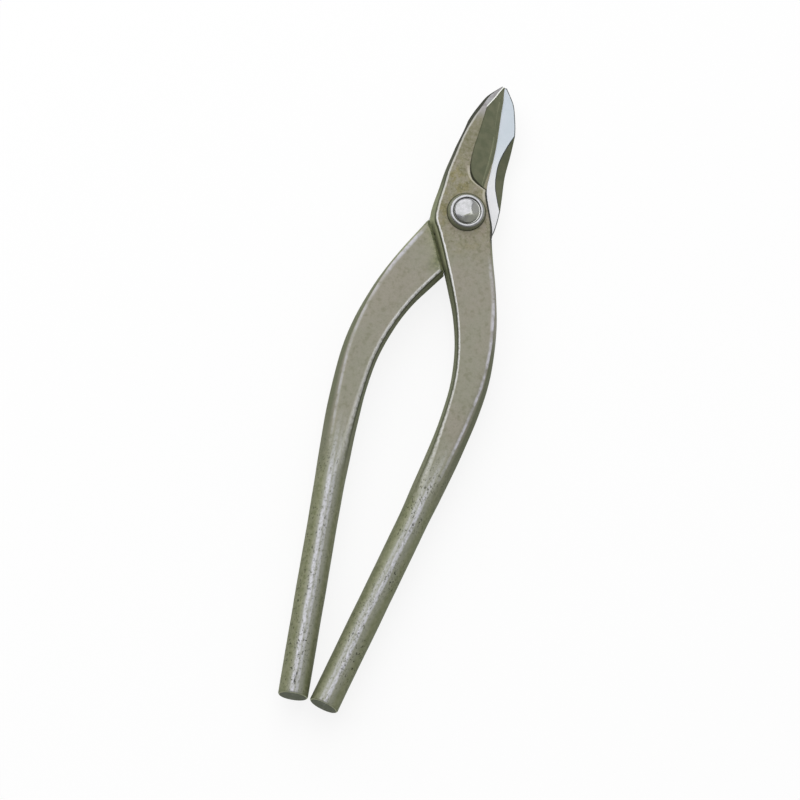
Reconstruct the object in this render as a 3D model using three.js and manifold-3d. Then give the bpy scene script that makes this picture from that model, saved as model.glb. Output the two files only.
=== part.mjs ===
// Hand-forged tin snips with willow-leaf blades, bowed arms and round handles.
//
// The snips lie on their side with the blade tips towards +Y and the pivot axis along +Z. The origin
// is where the pivot axis meets the bench, on the flat of the lower rivet head. The two halves are the
// same forging, one turned over on the other, and they meet on the lap plane halfway up the rivet.
// A half is lofted from the tip to the handle end, then ground as the smith does it: lap recess, inner
// relief, cutting bevel, point facet and rivet hole. A plate of hard steel is welded to the inner side
// of each blade and carries the edge and the polished lap face. Sizes are in millimetres.

import * as THREE from 'three';
import { mergeVertices } from 'three/addons/utils/BufferGeometryUtils.js';
import Module from 'manifold-3d';

// Driving sizes of the closed tool
const bladeReach = 62;
const handleReach = 238;
const heelRadius = 15.3;
const armSpread = 34.3;
const handleDiameter = 13.8;
const handleEndGap = 0.8;
const halfThickness = 6.5;

// Blade
const tipThickness = 3.2;
const edgeThickness = 0.5;
const edgeLandWidth = 0.2;
const throatLandWidth = 1.6;
const steelThickness = 1.5;

// Forged sides and ends
const sideDraft = 2.4;
const arrisRadius = 0.6;
const handleEndChamfer = 0.7;

// Rivet and collars
const rivetDiameter = 9;
const rivetHeadDiameter = 10.9;
const rivetHeadSide = 1;
const rivetHeadRise = 1.2;
const rivetFlatDiameter = 6;
const collarBaseDiameter = 17;
const collarRimDiameter = 14.8;
const collarHeight = 2.6;
const collarRimWidth = 1.4;
const collarRimRadius = 0.5;
const collarSeatDepth = 1.2;

// Clearances: between the lap faces, round the shank, under the collars and heads, between each arm
// and the heel that swings past it, and round the welded plate
const lapClearance = 0.2;
const boreClearance = 0.08;
const faceClearance = 0.15;
const headClearance = 0.12;
const shoulderClearance = 0.5;
const plateClearance = 0.3;

// How far a cutter runs past what it cuts
const overrun = 4;

const handleRadius = handleDiameter / 2;
const boreRadius = rivetDiameter / 2 + boreClearance;
const collarSeatHeight = halfThickness + faceClearance + collarHeight - collarSeatDepth;
const rivetHeadBase = collarSeatHeight + headClearance;
const lapHeight = rivetHeadBase + rivetHeadSide + rivetHeadRise;
const roundFacets = 40;

const wasm = await Module();
wasm.setup();

// A closed geometry as a solid that can be joined and cut
function toSolid(geometry) {
  const bare = geometry.clone();
  bare.deleteAttribute('normal');
  bare.deleteAttribute('uv');
  const merged = mergeVertices(bare);
  return new wasm.Manifold(new wasm.Mesh({
    numProp: 3,
    vertProperties: merged.attributes.position.array,
    triVerts: new Uint32Array(merged.index.array),
  }));
}

// A solid as a geometry with flat facets
function toGeometry(solid) {
  const mesh = solid.getMesh();
  const geometry = new THREE.BufferGeometry();
  geometry.setAttribute('position', new THREE.BufferAttribute(new Float32Array(mesh.vertProperties), 3));
  geometry.setIndex(new THREE.BufferAttribute(new Uint32Array(mesh.triVerts), 1));
  const flat = geometry.toNonIndexed();
  flat.computeVertexNormals();
  return flat;
}

// A skin through closed sections of equal point count, its ends filled as fans. Each section runs
// clockwise as seen from ahead of the first one.
function loft(sections) {
  const count = sections[0].length;
  const last = (sections.length - 1) * count;
  const faces = [];
  for (let i = 0; i + 1 < sections.length; i++) {
    for (let j = 0; j < count; j++) {
      const here = i * count + j;
      const next = i * count + ((j + 1) % count);
      faces.push(here, next, next + count, here, next + count, here + count);
    }
  }
  for (let j = 1; j + 1 < count; j++) {
    faces.push(0, j + 1, j, last, last + j, last + j + 1);
  }
  const geometry = new THREE.BufferGeometry();
  const positions = sections.flat().flatMap((point) => point.toArray());
  geometry.setAttribute('position', new THREE.Float32BufferAttribute(positions, 3));
  geometry.setIndex(faces);
  return toSolid(geometry);
}

// A flat outline as a solid between two heights
function plate(outline, bottom, top) {
  const shape = new THREE.Shape(outline);
  const geometry = new THREE.ExtrudeGeometry(shape, { depth: top - bottom, bevelEnabled: false });
  return toSolid(geometry.translate(0, 0, bottom));
}

// A disc on the pivot axis between two heights
function disc(radius, bottom, top) {
  const geometry = new THREE.CylinderGeometry(radius, radius, top - bottom, roundFacets);
  return toSolid(geometry.rotateX(Math.PI / 2).translate(0, 0, (top + bottom) / 2));
}

// A profile of radii and heights turned about the pivot axis
function turned(profile) {
  const points = profile.map(([radius, height]) => new THREE.Vector2(radius, height));
  return toSolid(new THREE.LatheGeometry(points, roundFacets).rotateX(Math.PI / 2));
}

// Stations of one half, from the tip to the handle end. Each row is one section across the forging:
// its point on the spine or inner side, its point on the edge or outer side, its height between a
// low and a high thickness, the slope of its two sides as shares of the side draft, and how round
// it is. Blade rows are shares of the heel radius across and of the blade reach along.
const bladeStationShares = [
  [-0.023, 1.000, 0.023, 0.998, 0.00, 0.10, 0.06, 0],
  [-0.215, 0.965, 0.045, 0.968, 0.07, 0.22, 0.06, 0],
  [-0.390, 0.910, 0.081, 0.913, 0.16, 0.34, 0.06, 0],
  [-0.542, 0.827, 0.140, 0.831, 0.29, 0.42, 0.06, 0],
  [-0.708, 0.710, 0.221, 0.713, 0.46, 0.46, 0.06, 0],
  [-0.800, 0.548, 0.308, 0.548, 0.69, 0.50, 0.06, 0],
  [-0.859, 0.379, 0.357, 0.379, 0.88, 0.60, 0.06, 0],
  [-0.915, 0.239, 0.380, 0.245, 1.00, 0.72, 0.10, 0],
];

// Joint rows are shares of the heel radius both ways.
const jointStationShares = [
  [-0.974, 0.481, 0.476, 0.721, 1, 0.85, 0.28, 0],
  [-1.000, 0.052, 0.669, 0.325, 1, 0.95, 0.38, 0],
  [-0.988, -0.253, 0.825, 0.019, 1, 1.00, 0.42, 0],
  [-0.922, -0.510, 0.934, -0.234, 1, 1.00, 0.45, 0],
  [-0.756, -0.738, 1.024, -0.494, 1, 0.97, 0.50, 0],
  [-0.471, -1.163, 1.215, -0.992, 1, 0.92, 0.54, 0],
  [-0.118, -1.738, 1.444, -1.567, 1, 0.88, 0.55, 0.02],
];

// Arm rows are shares of the arm spread across and of the handle reach along. Their height goes
// from the thickness of the joint to the radius of the handle.
const armStationShares = [
  [0.099, -0.1513, 0.764, -0.1441, 0.0, 0.88, 0.60, 0.05],
  [0.274, -0.1992, 0.866, -0.1903, 0.1, 0.80, 0.70, 0.10],
  [0.414, -0.2563, 0.945, -0.2429, 0.3, 0.80, 0.90, 0.16],
  [0.496, -0.3193, 0.994, -0.3059, 0.5, 0.82, 1.15, 0.25],
  [0.513, -0.3824, 0.988, -0.3748, 0.7, 0.85, 1.20, 0.34],
  [0.487, -0.4538, 0.936, -0.4571, 0.9, 0.95, 1.20, 0.50],
  [0.434, -0.5336, 0.854, -0.5420, 1.0, 1.00, 1.20, 0.75],
];

// Where the straight handle begins, on its own axis, as shares of the arm spread and handle reach
const handleTopAcrossShare = 0.592;
const handleTopAlongShare = 0.597;

// A row of shares as a real station
function stationRow(row, acrossSize, alongSize, lowThickness, highThickness) {
  const [leftAcross, leftAlong, rightAcross, rightAlong, height, leftDraft, rightDraft, roundness] = row;
  const rounding = roundness * roundness;
  return {
    left: new THREE.Vector3(leftAcross * acrossSize, leftAlong * alongSize, 0),
    right: new THREE.Vector3(rightAcross * acrossSize, rightAlong * alongSize, 0),
    thickness: THREE.MathUtils.lerp(lowThickness, highThickness, height),
    leftInset: THREE.MathUtils.lerp(leftDraft * sideDraft, handleRadius, rounding),
    rightInset: THREE.MathUtils.lerp(rightDraft * sideDraft, handleRadius, rounding),
    roundness,
  };
}

const handleTop = new THREE.Vector3(handleTopAcrossShare * armSpread, -handleTopAlongShare * handleReach, 0);
const handleEnd = new THREE.Vector3(handleRadius + handleEndGap / 2, -handleReach, 0);
const handleAxis = handleEnd.clone().sub(handleTop).normalize();
const handleAcross = new THREE.Vector3(-handleAxis.y, handleAxis.x, 0);

// A round station square to the axis of the handle
function handleRow(centre) {
  return {
    left: centre.clone().addScaledVector(handleAcross, -handleRadius),
    right: centre.clone().addScaledVector(handleAcross, handleRadius),
    thickness: handleRadius,
    leftInset: handleRadius,
    rightInset: handleRadius,
    roundness: 1,
  };
}

const stations = [
  ...bladeStationShares.map((row) => stationRow(row, heelRadius, bladeReach, tipThickness, halfThickness)),
  ...jointStationShares.map((row) => stationRow(row, heelRadius, heelRadius, halfThickness, halfThickness)),
  ...armStationShares.map((row) => stationRow(row, armSpread, handleReach, halfThickness, handleRadius)),
  handleRow(handleTop),
  handleRow(handleTop.clone().lerp(handleEnd, 0.5)),
  handleRow(handleEnd),
];
const lastStation = stations.length - 1;
const firstJointStation = bladeStationShares.length;
const heelStation = firstJointStation + 3;

// Smooth lines through one column of the stations
const leftLine = new THREE.CatmullRomCurve3(stations.map((station) => station.left));
const rightLine = new THREE.CatmullRomCurve3(stations.map((station) => station.right));
function columnLine(key) {
  return new THREE.SplineCurve(stations.map((station, i) => new THREE.Vector2(i, station[key])));
}
const thicknessLine = columnLine('thickness');
const leftInsetLine = columnLine('leftInset');
const rightInsetLine = columnLine('rightInset');
const roundnessLine = columnLine('roundness');

// The station at a whole or broken station number
function stationAt(number) {
  const share = number / lastStation;
  return {
    left: leftLine.getPoint(share),
    right: rightLine.getPoint(share),
    thickness: thicknessLine.getPoint(share).y,
    leftInset: leftInsetLine.getPoint(share).y,
    rightInset: rightInsetLine.getPoint(share).y,
    roundness: THREE.MathUtils.clamp(roundnessLine.getPoint(share).y, 0, 1),
  };
}

// One side of a section from the lap plane up to the top arris, as insets and heights. A forged
// side is a sloping wall with a small round at the arris, and a round side is a quarter ellipse.
const sideSteps = 6;
const wallSteps = 3;
function sideProfile(inset, thickness, roundness) {
  const radius = Math.min(arrisRadius, inset);
  const points = [];
  for (let j = 0; j <= sideSteps; j++) {
    const quarter = (j / sideSteps) * (Math.PI / 2);
    const roundInset = inset * (1 - Math.cos(quarter));
    const roundHeight = thickness * Math.sin(quarter);
    const climb = Math.min(j / wallSteps, 1);
    const turn = (Math.max(j - wallSteps, 0) / (sideSteps - wallSteps)) * (Math.PI / 2);
    const forgedInset = climb * (inset - radius) + radius * (1 - Math.cos(turn));
    const forgedHeight = climb * (thickness - radius) + radius * Math.sin(turn);
    points.push([
      THREE.MathUtils.lerp(forgedInset, roundInset, roundness),
      THREE.MathUtils.lerp(forgedHeight, roundHeight, roundness),
    ]);
  }
  return points;
}

// The full section of the forging at a station, symmetrical about the lap plane. Its top keeps a
// narrow flat, also where the bar is round.
const widestInsetShare = 0.48;
function sectionAt(station) {
  const { left, right, thickness, roundness } = station;
  const width = left.distanceTo(right);
  const across = right.clone().sub(left).normalize();
  const leftInset = Math.min(station.leftInset, widestInsetShare * width);
  const rightInset = Math.min(station.rightInset, widestInsetShare * width);
  const upper = [];
  for (const [inset, height] of sideProfile(rightInset, thickness, roundness)) {
    upper.push(right.clone().addScaledVector(across, -inset).setZ(height));
  }
  for (const [inset, height] of sideProfile(leftInset, thickness, roundness).reverse()) {
    upper.push(left.clone().addScaledVector(across, inset).setZ(height));
  }
  const lower = upper.slice(1, -1).reverse().map((point) => point.clone().setZ(-point.z));
  return [...upper, ...lower];
}

// The whole forging before it is ground, with the end of the handle chamfered
const sectionsPerStation = 3;
function forgedBlank() {
  const sections = [];
  for (let i = 0; i <= (lastStation - 1) * sectionsPerStation; i++) {
    sections.push(sectionAt(stationAt(i / sectionsPerStation)));
  }
  const endSection = sectionAt(stations[lastStation]);
  const endScale = 1 - handleEndChamfer / handleRadius;
  sections.push(endSection.map((point) => point.clone().addScaledVector(handleAxis, -handleEndChamfer)));
  sections.push(endSection.map((point) => point.clone().sub(handleEnd).multiplyScalar(endScale).add(handleEnd)));
  return loft(sections);
}

// The blade's own lines, to set its ground faces by: for a distance along the blade, a value that
// goes with the stations from the tip to the throat
const bladeSamples = Array.from({ length: firstJointStation * sectionsPerStation }, (_, i) => {
  return stationAt(i / sectionsPerStation);
});
function alongBlade(along, side, valueOf) {
  const behind = bladeSamples.findIndex((sample) => sample[side].y <= along);
  const i = behind < 0 ? bladeSamples.length - 1 : Math.max(behind, 1);
  const [far, near] = [bladeSamples[i - 1], bladeSamples[i]];
  const share = (far[side].y - along) / (far[side].y - near[side].y);
  return THREE.MathUtils.lerp(valueOf(far), valueOf(near), THREE.MathUtils.clamp(share, 0, 1));
}
const edgeAcross = (along) => alongBlade(along, 'right', (sample) => sample.right.x);
const spineAcross = (along) => alongBlade(along, 'left', (sample) => sample.left.x);
const bladeThickness = (along) => alongBlade(along, 'left', (sample) => sample.thickness);

// Cutting bevel. It is ground at one slope all along the edge, with a wider land left at the throat.
const bevelAngleTurns = 0.0763;
const landSlopeShare = 0.25;
const landStartShare = 0.45;
const landFullShare = 0.235;
const bevelEndShare = 0.15;
const bevelRunShare = 0.9;
const bevelSteps = 16;

// Plan of the shoulder that ends the bevel at the throat, as shares of the heel radius
const shoulderShares = [
  [1.000, 0.740],
  [0.379, 0.817],
  [0.196, 0.869],
  [0.000, 0.948],
  [-0.100, 1.013],
  [-0.185, 1.124],
  [-0.252, 1.288],
  [-0.300, 1.500],
  [-0.345, 1.800],
  [-0.560, 2.300],
];

// Everything above the bevel
function bevelCutter() {
  const top = halfThickness + overrun;
  const reach = bladeReach + overrun;
  const run = bevelRunShare * heelRadius;
  const rise = run * Math.tan(bevelAngleTurns * 2 * Math.PI);
  const sections = [];
  for (let i = 0; i <= bevelSteps; i++) {
    const along = THREE.MathUtils.lerp(reach, bevelEndShare * bladeReach, i / bevelSteps);
    const edge = edgeAcross(along);
    const toThroat = (landStartShare * bladeReach - along) / ((landStartShare - landFullShare) * bladeReach);
    const landWidth = THREE.MathUtils.lerp(edgeLandWidth, throatLandWidth, Math.max(toThroat, 0));
    const landHeight = edgeThickness + landWidth * landSlopeShare;
    sections.push([
      new THREE.Vector3(edge - landWidth - run, along, landHeight + rise),
      new THREE.Vector3(edge - landWidth, along, landHeight),
      new THREE.Vector3(edge, along, edgeThickness),
      new THREE.Vector3(edge + overrun, along, edgeThickness),
      new THREE.Vector3(edge + overrun, along, top),
      new THREE.Vector3(edge - landWidth - run, along, top),
    ]);
  }
  const bend = new THREE.SplineCurve(shoulderShares.map(([x, y]) => {
    return new THREE.Vector2(x * heelRadius, y * heelRadius);
  }));
  const shoulder = bend.getPoints((shoulderShares.length - 1) * sectionsPerStation);
  const beyond = [new THREE.Vector2(-reach, reach), new THREE.Vector2(reach, reach)];
  return loft(sections).intersect(plate([...shoulder, ...beyond], 0, top));
}

// Point facet. It is one flat face that falls away to the tip and a little to the spine.
const facetStartShare = 0.815;
const facetFallShare = 0.32;
const facetTiltShare = 0.09;

// Everything above the point facet
function pointFacetCutter() {
  const top = halfThickness + overrun;
  const start = facetStartShare * bladeReach;
  const startHeight = bladeThickness(start);
  const startAcross = spineAcross(start) / 2;
  function corner(across, along) {
    const height = startHeight + (across - startAcross) * facetTiltShare - (along - start) * facetFallShare;
    return new THREE.Vector3(across, along, height);
  }
  return loft([bladeReach + overrun, start - heelRadius / 2].map((along) => {
    const [spineSide, edgeSide] = [corner(-heelRadius, along), corner(heelRadius, along)];
    return [spineSide, edgeSide, edgeSide.clone().setZ(top), spineSide.clone().setZ(top)];
  }));
}

// Inner relief: a hollow crescent between the lap face and the spine. Its border runs through these
// points, as shares of the heel radius across and of the blade reach along.
const reliefShares = [
  [-0.830, 0.740],
  [-0.732, 0.665],
  [-0.640, 0.585],
  [-0.568, 0.500],
  [-0.556, 0.428],
  [-0.590, 0.350],
  [-0.665, 0.274],
  [-0.804, 0.202],
  [-0.967, 0.129],
  [-1.110, 0.080],
];
const reliefSlopeShare = 0.8;
const reliefRunShare = 0.6;

// Everything on the lap side of the relief
function reliefCutter() {
  const border = new THREE.SplineCurve(reliefShares.map(([x, y]) => {
    return new THREE.Vector2(x * heelRadius, y * bladeReach);
  }));
  const run = reliefRunShare * heelRadius;
  return loft(border.getPoints((reliefShares.length - 1) * 2).map(({ x, y }) => [
    new THREE.Vector3(x - run, y, -overrun),
    new THREE.Vector3(x, y, -overrun),
    new THREE.Vector3(x, y, 0),
    new THREE.Vector3(x - run, y, run * reliefSlopeShare),
  ]));
}

// Lap recess. The other half lies on the lap side of this one, so this one has nothing there beside
// the line of the other arm, nor inside the circle that the other heel sweeps.
const heelCorner = leftLine.getPoint(heelStation / lastStation);
const recessRadius = Math.hypot(heelCorner.x, heelCorner.y) + shoulderClearance;
const armLineStations = 6;

function lapRecess() {
  const bottom = -halfThickness - overrun;
  const reach = bladeReach + overrun;
  const wall = [];
  for (let i = armLineStations * sectionsPerStation; i >= 0; i--) {
    const share = (heelStation + i / sectionsPerStation) / lastStation;
    const point = leftLine.getPoint(share);
    const along = leftLine.getTangent(share);
    const clear = new THREE.Vector2(along.y, -along.x).multiplyScalar(shoulderClearance);
    wall.push(new THREE.Vector2(-(point.x + clear.x), point.y + clear.y));
  }
  const outline = [
    new THREE.Vector2(reach, reach),
    new THREE.Vector2(-reach, reach),
    new THREE.Vector2(-reach, wall[0].y),
    ...wall,
    new THREE.Vector2(reach, wall[wall.length - 1].y),
  ];
  return plate(outline, bottom, lapClearance / 2).add(disc(recessRadius, bottom, lapClearance / 2));
}

// The space of the welded plate: an eye round the rivet and the whole inner side of the blade
function platePocket(clearance, bottom) {
  const reach = bladeReach + overrun;
  const blade = [
    new THREE.Vector2(-reach, 0),
    new THREE.Vector2(reach, 0),
    new THREE.Vector2(reach, reach),
    new THREE.Vector2(-reach, reach),
  ];
  const eye = disc(recessRadius - clearance, bottom, steelThickness);
  return plate(blade, bottom, steelThickness).add(eye);
}

// One half, as its iron forging and its steel plate
function half() {
  const below = -halfThickness - overrun;
  const ground = forgedBlank()
    .subtract(bevelCutter())
    .subtract(pointFacetCutter())
    .subtract(reliefCutter())
    .subtract(disc(boreRadius, below, halfThickness + overrun));
  return {
    iron: ground.subtract(lapRecess()).subtract(platePocket(0, below)),
    steel: ground.intersect(platePocket(plateClearance, lapClearance / 2)),
  };
}

// The rivet, closed over a collar at each end, with its lower head filed flat
function rivet() {
  const shankRadius = rivetDiameter / 2;
  const headRadius = rivetHeadDiameter / 2;
  const crownBase = rivetHeadBase + rivetHeadSide;
  const crownSteps = 6;
  // Half a head from its crown to the shank
  function headProfile(flatRadius) {
    const crown = [];
    for (let i = 0; i <= crownSteps; i++) {
      const angle = (1 - i / crownSteps) * (Math.PI / 2);
      const radius = flatRadius + (headRadius - flatRadius) * Math.cos(angle);
      crown.push([i === 0 ? flatRadius : radius, crownBase + rivetHeadRise * Math.sin(angle)]);
    }
    return [...crown, [headRadius, rivetHeadBase], [shankRadius, rivetHeadBase]];
  }
  const lower = headProfile(rivetFlatDiameter / 2).map(([radius, height]) => [radius, -height]);
  const upper = headProfile(0).reverse();
  return turned([[0, -lapHeight], ...lower, ...upper]);
}

// A dished collar under a rivet head, from its base up
function collar() {
  const base = collarBaseDiameter / 2;
  const rim = collarRimDiameter / 2;
  const recess = rim - collarRimWidth;
  const floor = collarHeight - collarSeatDepth;
  const rounding = [];
  for (const quarter of [0, 1, 2, 3]) {
    const angle = (quarter / 3) * (Math.PI / 2);
    const radius = rim - collarRimRadius * (1 - Math.cos(angle));
    rounding.push([radius, collarHeight - collarRimRadius * (1 - Math.sin(angle))]);
  }
  return turned([
    [boreRadius, 0],
    [base, 0],
    ...rounding,
    [recess, collarHeight],
    [recess, floor],
    [boreRadius, floor],
    [boreRadius, 0],
  ]);
}

const iron = { color: 0x8e8a78, roughness: 0.6, metalness: 0.7 };
const polishedSteel = { color: 0xd8dce0, roughness: 0.22, metalness: 1 };
const brightSteel = { color: 0xbfc2c6, roughness: 0.3, metalness: 0.95 };

function part(name, solid, finish) {
  const mesh = new THREE.Mesh(toGeometry(solid), new THREE.MeshStandardMaterial(finish));
  mesh.name = name;
  return mesh;
}

// One half with the collar on its outer face
function halfAssembly(side) {
  const group = new THREE.Group();
  const { iron: forging, steel } = half();
  const washer = part(`${side}_collar`, collar(), brightSteel);
  washer.position.z = halfThickness + faceClearance;
  group.add(part(`${side}_half`, forging, iron));
  group.add(part(`${side}_cutting_steel`, steel, polishedSteel));
  group.add(washer);
  return group;
}

const tinSnips = new THREE.Group();
tinSnips.position.z = lapHeight;
const back = halfAssembly('back');
back.rotation.y = Math.PI;
tinSnips.add(halfAssembly('front'), back, part('pivot_rivet', rivet(), brightSteel));

export default tinSnips;
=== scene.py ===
import math
from contextlib import contextmanager
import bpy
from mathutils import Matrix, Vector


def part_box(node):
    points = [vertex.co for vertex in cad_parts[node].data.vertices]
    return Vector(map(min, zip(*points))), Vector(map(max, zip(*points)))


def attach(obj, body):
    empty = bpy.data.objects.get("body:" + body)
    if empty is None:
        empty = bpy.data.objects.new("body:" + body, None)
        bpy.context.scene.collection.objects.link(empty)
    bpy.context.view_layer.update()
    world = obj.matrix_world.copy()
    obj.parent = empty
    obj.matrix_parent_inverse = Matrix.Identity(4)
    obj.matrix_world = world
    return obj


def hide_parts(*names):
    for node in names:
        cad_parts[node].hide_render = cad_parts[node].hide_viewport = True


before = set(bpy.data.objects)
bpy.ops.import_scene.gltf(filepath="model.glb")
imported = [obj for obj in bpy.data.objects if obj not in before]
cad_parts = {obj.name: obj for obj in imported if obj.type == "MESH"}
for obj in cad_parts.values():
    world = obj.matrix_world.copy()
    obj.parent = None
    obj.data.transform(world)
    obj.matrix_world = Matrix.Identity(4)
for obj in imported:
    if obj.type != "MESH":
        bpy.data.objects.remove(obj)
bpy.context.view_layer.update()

from types import SimpleNamespace

import bmesh
import bpy
import numpy as np
from mathutils import Matrix

# The two forgings and their cutting steels
# Each half is a bar of soft iron drawn out by hand, with a steep shoulder at the joint and a plate of
# hard steel forge-welded to its blade's inner side. Both halves are made alike, and one is turned over.
mm = 0.001
lap_height = sum(corner.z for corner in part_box("pivot_rivet")) / 2 / mm

blade_reach = 63.0
handle_reach = 238.0
heel_radius = 15.3
arm_spread = 34.3
handle_radius = 6.8
handle_end_gap = 0.8
half_thickness = 6.5
tip_thickness = 3.2
side_draft = 2.4
widest_inset_share = 0.48

# Sections from the tip to the handle end: the left and right points as shares of the heel radius and
# the blade reach, the height between the tip's and the joint's thickness, the slope of the left and
# right sides as shares of the side draft, and how round the bar is
blade_stations = [
    [-0.074, 1.000, 0.010, 0.996, 0.00, 0.40, 0.06, 0],
    [-0.248, 0.951, 0.036, 0.955, 0.07, 0.62, 0.06, 0],
    [-0.418, 0.896, 0.090, 0.899, 0.16, 0.82, 0.06, 0],
    [-0.561, 0.814, 0.134, 0.818, 0.29, 0.85, 0.06, 0],
    [-0.712, 0.699, 0.211, 0.702, 0.46, 0.78, 0.06, 0],
    [-0.822, 0.539, 0.308, 0.539, 0.69, 0.64, 0.06, 0],
    [-0.866, 0.373, 0.357, 0.373, 0.88, 0.74, 0.06, 0],
    [-0.936, 0.235, 0.385, 0.241, 1.00, 0.78, 0.10, 0],
]

# The joint's sections, as shares of the heel radius both ways
joint_stations = [
    [-0.961, 0.481, 0.476, 0.721, 1, 0.85, 0.66, 0],
    [-0.983, 0.052, 0.669, 0.325, 1, 0.95, 0.72, 0],
    [-0.973, -0.253, 0.825, 0.019, 1, 1.00, 0.70, 0],
    [-0.913, -0.510, 0.930, -0.234, 1, 1.00, 0.62, 0],
    [-0.754, -0.738, 0.999, -0.494, 1, 0.97, 0.56, 0],
    [-0.471, -1.163, 1.200, -0.992, 1, 0.92, 0.54, 0],
    [-0.118, -1.738, 1.444, -1.567, 1, 0.88, 0.55, 0.02],
]

# The arm's sections, as shares of the arm spread and the handle reach, their height between the
# joint's thickness and the handle's radius
arm_stations = [
    [0.103, -0.1513, 0.759, -0.1441, 0.0, 0.85, 0.46, 0.05],
    [0.279, -0.1992, 0.859, -0.1903, 0.1, 0.62, 0.56, 0.10],
    [0.419, -0.2563, 0.940, -0.2429, 0.3, 0.58, 0.64, 0.16],
    [0.503, -0.3193, 0.990, -0.3059, 0.5, 0.62, 0.85, 0.25],
    [0.518, -0.3824, 0.981, -0.3748, 0.7, 0.68, 1.05, 0.34],
    [0.491, -0.4538, 0.929, -0.4571, 0.9, 0.85, 1.20, 0.50],
    [0.437, -0.5336, 0.850, -0.5420, 1.0, 1.00, 1.20, 0.75],
]
handle_top = np.array([0.592 * arm_spread, -0.597 * handle_reach])
handle_end = np.array([handle_radius + handle_end_gap / 2, -handle_reach])
handle_axis = (handle_end - handle_top) / np.linalg.norm(handle_end - handle_top)


def real_stations(shares, across, along, low, high):
    """Columns left x, left y, right x, right y, height, left inset, right inset and roundness. Shares
    times their sizes, and the insets go from the draft to the handle's radius with roundness squared."""
    left_x, left_y, right_x, right_y, height, left_draft, right_draft, roundness = np.array(shares, float).T
    rounding = roundness ** 2
    return np.column_stack([
        left_x * across, left_y * along, right_x * across, right_y * along,
        low + (high - low) * height,
        left_draft * side_draft * (1 - rounding) + handle_radius * rounding,
        right_draft * side_draft * (1 - rounding) + handle_radius * rounding,
        roundness,
    ])


def round_stations(centres):
    """Sections square to the handle's axis, a handle radius to each side of the centres."""
    across = np.array([-handle_axis[1], handle_axis[0]]) * handle_radius
    return np.array([[*(centre - across), *(centre + across), *[handle_radius] * 3, 1] for centre in centres])


stations = np.vstack([
    real_stations(blade_stations, heel_radius, blade_reach, tip_thickness, half_thickness),
    real_stations(joint_stations, heel_radius, heel_radius, half_thickness, half_thickness),
    real_stations(arm_stations, arm_spread, handle_reach, half_thickness, handle_radius),
    round_stations([handle_top, (handle_top + handle_end) / 2, handle_end]),
])
last_station = len(stations) - 1
heel_station = len(blade_stations) + 3


def cubic(start, end, start_slope, end_slope, share):
    """The cubic curve from start to end with the slopes given at its ends."""
    return (start + start_slope * share + (3 * (end - start) - 2 * start_slope - end_slope) * share ** 2
            + (2 * (start - end) + start_slope + end_slope) * share ** 3)


def smooth_line(points, numbers):
    """A smooth curve through points, at whole or broken point numbers: on each span a cubic whose end
    slopes come from the neighbouring points, spaced by the square root of their distances."""
    points = np.asarray(points, float)
    padded = np.vstack([2 * points[0] - points[1], points, 2 * points[-1] - points[-2]])
    span = np.clip(np.floor(numbers).astype(int), 0, len(points) - 2)
    share = (numbers - span)[:, None]
    p0, p1, p2, p3 = (padded[span + i] for i in range(4))
    d0, d1, d2 = (np.sqrt(np.linalg.norm(b - a, axis=1))[:, None] for a, b in ((p0, p1), (p1, p2), (p2, p3)))
    slope1 = ((p1 - p0) / d0 - (p2 - p0) / (d0 + d1) + (p2 - p1) / d1) * d1
    slope2 = ((p2 - p1) / d1 - (p3 - p1) / (d1 + d2) + (p3 - p2) / d2) * d1
    return cubic(p1, p2, slope1, slope2, share)


def smooth_column(values, numbers):
    """A smooth curve through evenly spaced values, with end slopes half the neighbours' difference."""
    values = np.concatenate([values[:1], values, values[-1:]])
    span = np.clip(np.floor(numbers).astype(int), 0, len(values) - 4)
    share = numbers - span
    v0, v1, v2, v3 = (values[span + i] for i in range(4))
    slope1, slope2 = (v2 - v0) / 2, (v3 - v1) / 2
    return cubic(v1, v2, slope1, slope2, share)


# Section numbers, close together on the blade and wider apart down the arm and handle: the spacing
# of the rows by their distance down the tool
handle_chamfer = 0.7
spacing_by_row = [[-9, 12, 40, 130, 150], [0.27, 0.45, 0.8, 1.1, 2.0]]
fine_numbers = np.linspace(0, last_station, 6001)
middle_line = (smooth_line(stations[:, 0:2], fine_numbers) + smooth_line(stations[:, 2:4], fine_numbers)) / 2
steps = np.linalg.norm(np.diff(middle_line, axis=0), axis=1)
spacing = np.interp(-middle_line[1:, 1], *spacing_by_row)
lengths = np.concatenate([[0], np.cumsum(steps)])
counts = np.concatenate([[0], np.cumsum(steps / spacing)])
kept_length = lengths[-1] - handle_chamfer
kept_count = np.interp(kept_length, lengths, counts)
row_numbers = np.interp(np.linspace(0, kept_count, int(kept_count)), counts, fine_numbers)

# The ground faces of the blade: edge, land, cutting bevel at one slope, and point facet
edge_thickness = 0.5
edge_land_width = 0.2
throat_land_width = 1.6
land_slope = 0.25
bevel_slope = math.tan(math.radians(27.5))
land_start = 0.443 * blade_reach
land_full = 0.231 * blade_reach
facet_start = 0.802 * blade_reach
facet_fall = 0.32
facet_tilt = 0.09

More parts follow.
